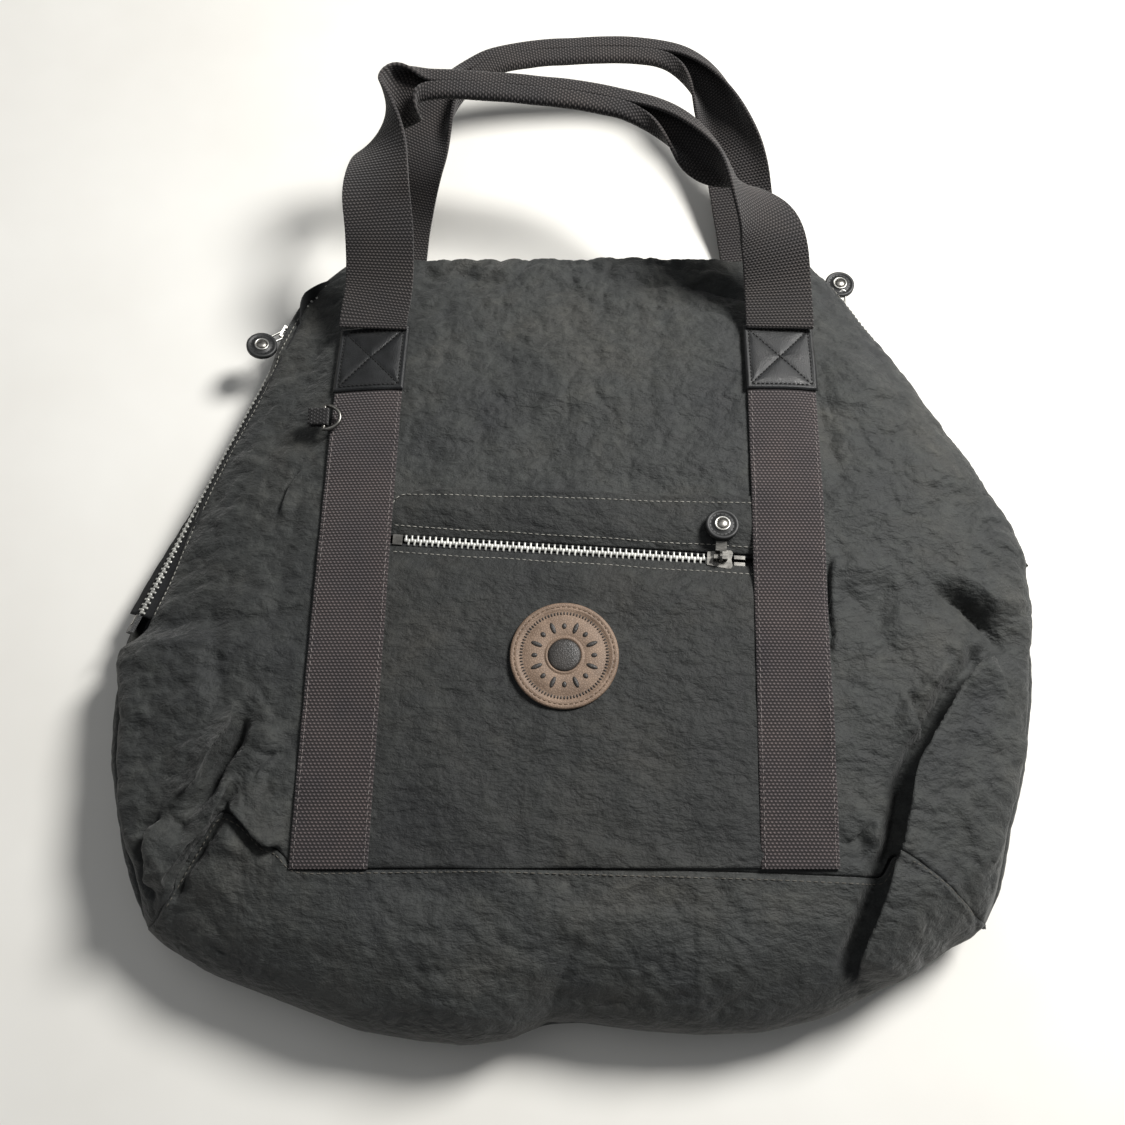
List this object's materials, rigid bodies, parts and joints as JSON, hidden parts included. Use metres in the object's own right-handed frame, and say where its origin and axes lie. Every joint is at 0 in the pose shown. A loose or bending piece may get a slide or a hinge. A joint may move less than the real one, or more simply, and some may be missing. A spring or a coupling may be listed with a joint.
{
  "type": "duffel bag",
  "caption": "Soft nylon holdall lying slack on its back, with two webbing handles, a zipped front pocket and a main zip over the open mouth.",
  "frame": {"origin": "middle of the footprint, on the floor that the back of the bag lies on", "axes": "+Z out of the front face, +Y from the base towards the mouth and handles, +X to the right seen from the front"},
  "size_m": [0.5252, 0.6128, 0.0953],
  "materials": {
    "nylon": "crinkled woven nylon, semi-matte",
    "lining_cloth": "plain woven lining",
    "webbing": "coarse woven webbing",
    "faux_leather": "black faux leather, slight sheen",
    "badge_leather": "matte tan",
    "zip_tape": "woven tape",
    "zip_teeth": "moulded, satin",
    "gunmetal": "dark plated",
    "plated_wire": "plated",
    "disc_rubber": "moulded"
  },
  "bodies": {
    "bag": {"front_panel": "nylon", "back_panel": "nylon", "base_panel": "nylon", "pocket_facing": "nylon", "pocket_panel": "nylon", "lining": "lining_cloth", "pocket_bag": "lining_cloth", "webbing_front_left": "webbing", "webbing_front_right": "webbing", "webbing_back_left": "webbing", "webbing_back_right": "webbing", "patch_front_left": "faux_leather", "patch_front_right": "faux_leather", "patch_back_left": "faux_leather", "patch_back_right": "faux_leather", "d_ring_tab": "faux_leather", "main_end_tab_left": "faux_leather", "main_end_tab_right": "faux_leather", "badge": "badge_leather", "pocket_tape_upper": "zip_tape", "pocket_tape_lower": "zip_tape", "main_tape_front": "zip_tape", "main_tape_back": "zip_tape", "pocket_teeth_upper": "zip_teeth", "pocket_teeth_lower": "zip_teeth", "main_teeth_front": "zip_teeth", "main_teeth_back": "zip_teeth", "pocket_stop_end": "zip_teeth", "pocket_stop_upper": "zip_teeth", "pocket_stop_lower": "zip_teeth", "main_stop_left": "zip_teeth", "main_stop_right": "zip_teeth"},
    "handle_front": {"handle_front": "webbing"},
    "handle_back": {"handle_back": "webbing"},
    "d_ring": {"d_ring": "plated_wire"},
    "pocket_slider": {"pocket_slider": "gunmetal"},
    "pocket_pull": {"pocket_pull_link": "gunmetal", "pocket_pull_disc": "disc_rubber", "pocket_pull_rivet": "gunmetal"},
    "main_slider_left": {"main_slider_left": "gunmetal"},
    "main_pull_left": {"main_left_pull_link": "gunmetal", "main_left_pull_disc": "disc_rubber", "main_left_pull_rivet": "gunmetal"},
    "main_slider_right": {"main_slider_right": "gunmetal"},
    "main_pull_right": {"main_right_pull_link": "gunmetal", "main_right_pull_disc": "disc_rubber", "main_right_pull_rivet": "gunmetal"}
  },
  "joints": [
    {"name": "handle_front_swing", "type": "hinge", "parent": "bag", "child": "handle_front", "pos_m": [-0.00222, 0.09608, 0.052], "axis": [1, 0, 0], "range_deg": [0, 140]},
    {"name": "handle_back_swing", "type": "hinge", "parent": "bag", "child": "handle_back", "pos_m": [-0.00222, 0.09658, 0], "axis": [1, 0, 0], "range_deg": [-170, 0]},
    {"name": "d_ring_flip", "type": "hinge", "parent": "bag", "child": "d_ring", "pos_m": [-0.14699, 0.03058, 0.05917], "axis": [0, 1, 0], "range_deg": [-170, 0]},
    {"name": "pocket_slider_run", "type": "slide", "parent": "bag", "child": "pocket_slider", "axis": [0.9978, -0.0659, 0], "range_m": [-0.168, 0], "deforming": ["pocket_teeth_upper", "pocket_teeth_lower"]},
    {"name": "pocket_pull_flip", "type": "hinge", "parent": "pocket_slider", "child": "pocket_pull", "pos_m": [0.07589, -0.05477, 0.06385], "axis": [0.9978, -0.0659, 0], "range_deg": [0, 160]},
    {"name": "main_slider_left_run", "type": "slide", "parent": "bag", "child": "main_slider_left", "axis": [0.3738, 0.9268, -0.0358], "range_m": [-0.18, 0], "deforming": ["main_teeth_front", "main_teeth_back"]},
    {"name": "main_pull_left_flip", "type": "hinge", "parent": "main_slider_left", "child": "main_pull_left", "pos_m": [-0.18256, 0.10401, 0.0231], "axis": [-0.4755, 0.1583, -0.8653], "range_deg": [0, 130]},
    {"name": "main_slider_right_run", "type": "slide", "parent": "bag", "child": "main_slider_right", "axis": [-0.4875, 0.8724, -0.034], "range_m": [-0.18, 0], "deforming": ["main_teeth_front", "main_teeth_back"]},
    {"name": "main_pull_right_flip", "type": "hinge", "parent": "main_slider_right", "child": "main_pull_right", "pos_m": [0.16391, 0.12058, 0.0136], "axis": [0.1353, 0.114, 0.9842], "range_deg": [-140, 0]}
  ]
}
